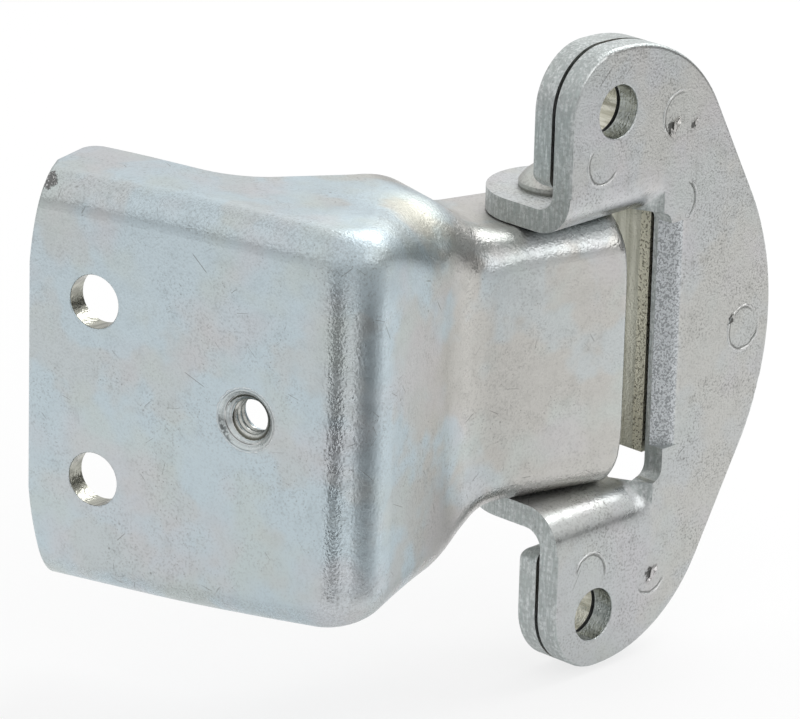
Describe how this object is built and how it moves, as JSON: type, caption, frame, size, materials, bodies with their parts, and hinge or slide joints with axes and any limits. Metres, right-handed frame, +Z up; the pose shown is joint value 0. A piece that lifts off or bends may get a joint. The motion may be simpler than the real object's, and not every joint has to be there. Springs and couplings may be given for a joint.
{
  "type": "car door hinge",
  "caption": "Pressed-steel car door hinge: a hollow cranked strap with a bolt pad swings on an upright pin between the folded ears of a crescent pillar plate.",
  "frame": {"origin": "middle of the pillar bolt pattern, on the front face of the pillar plate", "axes": "+Z up along the hinge pin, -Y out of the pillar plate's mounting face, +X from the strap's pad towards the plate's belly"},
  "size_m": [0.1412, 0.0781, 0.1321],
  "materials": {
    "strap_zinc": "bright zinc plate, satin, with faint bluish and beige patches",
    "plate_zinc": "zinc plate, matte, fine sandy grain",
    "backing_zinc": "zinc plate with dull sheared edges",
    "pin_steel": "dull plated steel",
    "bush_bronze": "oil-impregnated bronze"
  },
  "bodies": {
    "pillar": {"pillar_plate": "plate_zinc", "backing_plate": "backing_zinc", "hinge_pin": "pin_steel"},
    "door": {"door_strap": "strap_zinc", "upper_bush": "bush_bronze", "lower_bush": "bush_bronze"}
  },
  "joints": [
    {"name": "door_swing", "type": "hinge", "parent": "pillar", "child": "door", "pos_m": [0.00105, 0.0172, 0], "axis": [0, 0, -1], "range_deg": [0, 70]}
  ]
}
